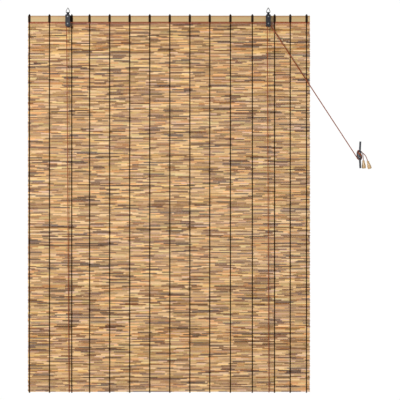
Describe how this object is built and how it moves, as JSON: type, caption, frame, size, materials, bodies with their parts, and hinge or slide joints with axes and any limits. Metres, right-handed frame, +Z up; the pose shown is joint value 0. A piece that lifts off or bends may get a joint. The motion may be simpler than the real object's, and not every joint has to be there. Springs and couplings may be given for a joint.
{
  "type": "reed roll up blind",
  "caption": "Natural reed roll up blind with dark warp yarns, hanging brackets, lift cords, a cord cleat and turned wooden pulls.",
  "frame": {"origin": "the left hanging ring's hook seat, the inside of its top bend", "axes": "+X to the right along the head batten, +Y away from the room towards the window, +Z up"},
  "size_m": [1.0976, 0.0333, 1.2279],
  "materials": {
    "bamboo": "satin planed bamboo",
    "reed": "satin natural reed, streaked",
    "yarn": "twined dark yarn",
    "cord": "braided rust-coloured cord",
    "bracket": "satin black",
    "wire": "zinc-plated",
    "rivet": "zinc-plated",
    "sheave": "moulded",
    "cleat": "moulded, soft gloss",
    "turned_wood": "pale, lightly varnished"
  },
  "bodies": {
    "blind": {"head_batten": "bamboo", "reeds_01": "reed", "reeds_02": "reed", "reeds_03": "reed", "reeds_04": "reed", "reeds_05": "reed", "reeds_06": "reed", "reeds_07": "reed", "reeds_08": "reed", "reeds_09": "reed", "reeds_10": "reed", "reeds_11": "reed", "reeds_12": "reed", "reeds_13": "reed", "reeds_14": "reed", "reeds_15": "reed", "reeds_16": "reed", "warp_01": "yarn", "warp_02": "yarn", "warp_03": "yarn", "warp_04": "yarn", "warp_05": "yarn", "warp_06": "yarn", "warp_07": "yarn", "warp_08": "yarn", "warp_09": "yarn", "warp_10": "yarn", "warp_11": "yarn", "warp_12": "yarn", "warp_13": "yarn", "warp_14": "yarn", "warp_15": "yarn", "bracket_left": "bracket", "rivet_left": "rivet", "axle_left": "rivet", "spacer_left": "rivet", "washer_left": "rivet", "lift_cord_left": "cord", "bracket_right": "bracket", "rivet_right": "rivet", "axle_right": "rivet", "spacer_right": "rivet", "washer_right": "rivet", "lift_cord_right": "cord", "axle_sleeve_left": "rivet", "cleat": "cleat", "cleat_wrap": "cord", "tail_inner": "cord", "tail_outer": "cord", "acorn_inner": "turned_wood", "acorn_outer": "turned_wood"},
    "ring_left": {"ring_left": "wire"},
    "ring_right": {"ring_right": "wire"},
    "sheave_left": {"sheave_left": "sheave"},
    "sheave_right_front": {"sheave_right_front": "sheave"},
    "sheave_right_rear": {"sheave_right_rear": "sheave"}
  },
  "joints": [
    {"name": "ring_left_swing", "type": "hinge", "parent": "blind", "child": "ring_left", "pos_m": [0, 0, -0.014], "axis": [1, 0, 0], "range_deg": [-75, 75]},
    {"name": "ring_right_swing", "type": "hinge", "parent": "blind", "child": "ring_right", "pos_m": [0.638, 0, -0.014], "axis": [1, 0, 0], "range_deg": [-75, 75]},
    {"name": "sheave_left_turn", "type": "hinge", "parent": "blind", "child": "sheave_left", "pos_m": [0, -0.003, -0.0495], "axis": [0, 1, 0], "continuous": true},
    {"name": "sheave_right_front_turn", "type": "hinge", "parent": "blind", "child": "sheave_right_front", "pos_m": [0.638, -0.003, -0.0495], "axis": [0, 1, 0], "continuous": true},
    {"name": "sheave_right_rear_turn", "type": "hinge", "parent": "blind", "child": "sheave_right_rear", "pos_m": [0.638, 0.003, -0.0495], "axis": [0, 1, 0], "continuous": true}
  ],
  "couplings": [
    {"joint": "sheave_right_rear_turn", "follows": "sheave_left_turn", "ratio": 1}
  ]
}
